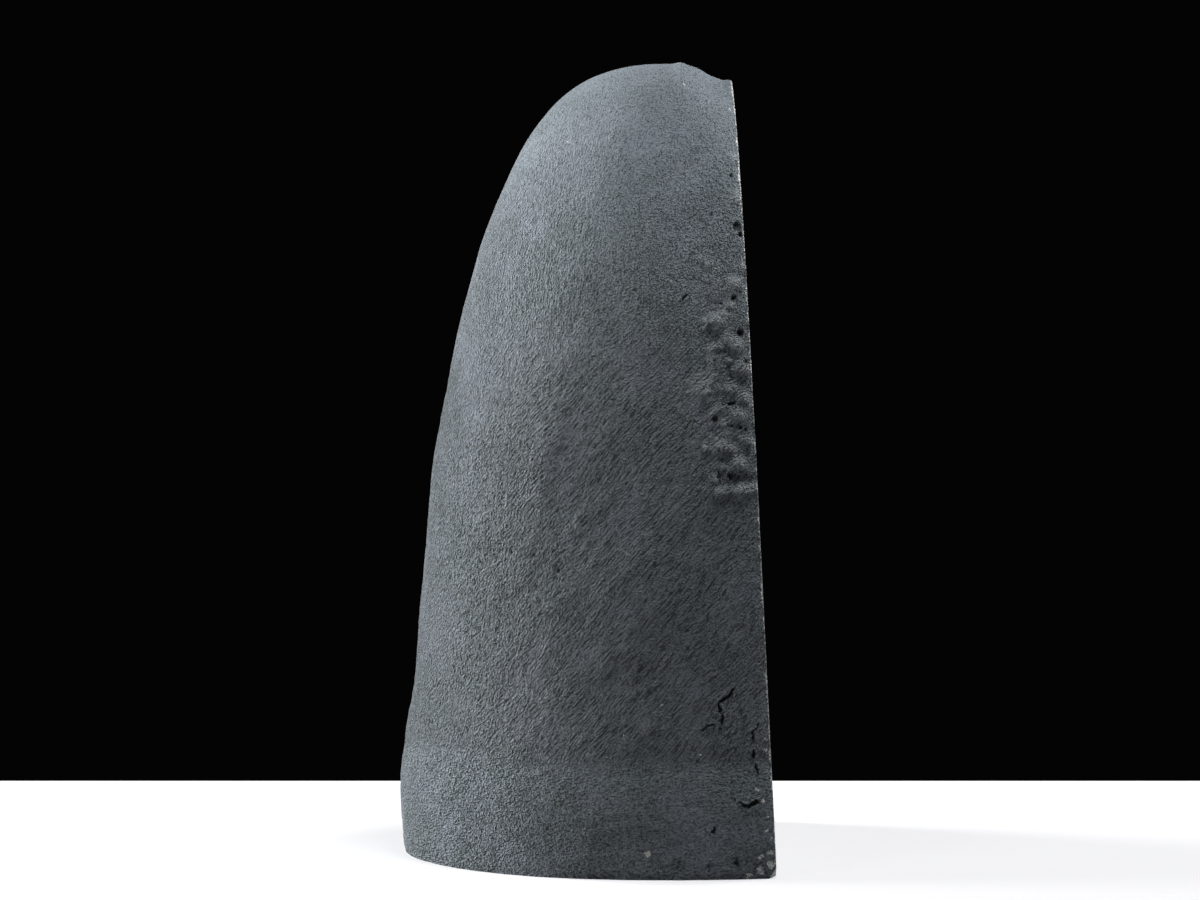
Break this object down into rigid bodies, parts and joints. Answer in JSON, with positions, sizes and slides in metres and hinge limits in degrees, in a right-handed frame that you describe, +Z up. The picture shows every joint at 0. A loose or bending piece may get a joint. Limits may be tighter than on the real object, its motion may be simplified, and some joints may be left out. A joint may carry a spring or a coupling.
{
  "type": "amethyst geode dome",
  "caption": "Tall sawn geode standing on a flat mortar foot, its back and sides coated with brushed mortar, its front open on a hollow lined with purple crystals.",
  "frame": {"origin": "on the ground in the middle of the foot, under the middle of the dome's depth and width", "axes": "+Z up, along the dome's height; -Y out of the sawn front face; X across the face"},
  "size_m": [0.2122, 0.1879, 0.4],
  "materials": {
    "painted_mortar": "matte",
    "basalt": "matte",
    "celadonite": "matte",
    "agate": "polished",
    "milky_quartz": "gloss",
    "amethyst_druse": "gloss",
    "amethyst": "polished"
  },
  "bodies": {
    "root": {"mortar_foot": "painted_mortar", "mortar_coat": "painted_mortar", "basalt_rind": "basalt", "celadonite_skin": "celadonite", "agate_band": "agate", "quartz_bed": "milky_quartz", "amethyst_carpet": "amethyst_druse", "amethyst_point_01": "amethyst", "amethyst_point_02": "amethyst", "amethyst_point_03": "amethyst", "amethyst_point_04": "amethyst", "amethyst_point_05": "amethyst", "amethyst_point_06": "amethyst", "amethyst_point_07": "amethyst", "amethyst_point_08": "amethyst", "amethyst_point_09": "amethyst", "amethyst_point_10": "amethyst", "amethyst_point_11": "amethyst", "amethyst_point_12": "amethyst", "amethyst_point_13": "amethyst", "amethyst_point_14": "amethyst", "amethyst_point_15": "amethyst", "amethyst_point_16": "amethyst", "amethyst_point_17": "amethyst", "amethyst_point_18": "amethyst", "amethyst_point_19": "amethyst", "amethyst_point_20": "amethyst", "amethyst_point_21": "amethyst", "amethyst_point_22": "amethyst", "amethyst_point_23": "amethyst", "amethyst_point_24": "amethyst", "amethyst_point_25": "amethyst", "amethyst_point_26": "amethyst", "amethyst_point_27": "amethyst", "amethyst_point_28": "amethyst", "amethyst_point_29": "amethyst", "amethyst_point_30": "amethyst", "amethyst_point_31": "amethyst", "amethyst_point_32": "amethyst"}
  },
  "joints": []
}
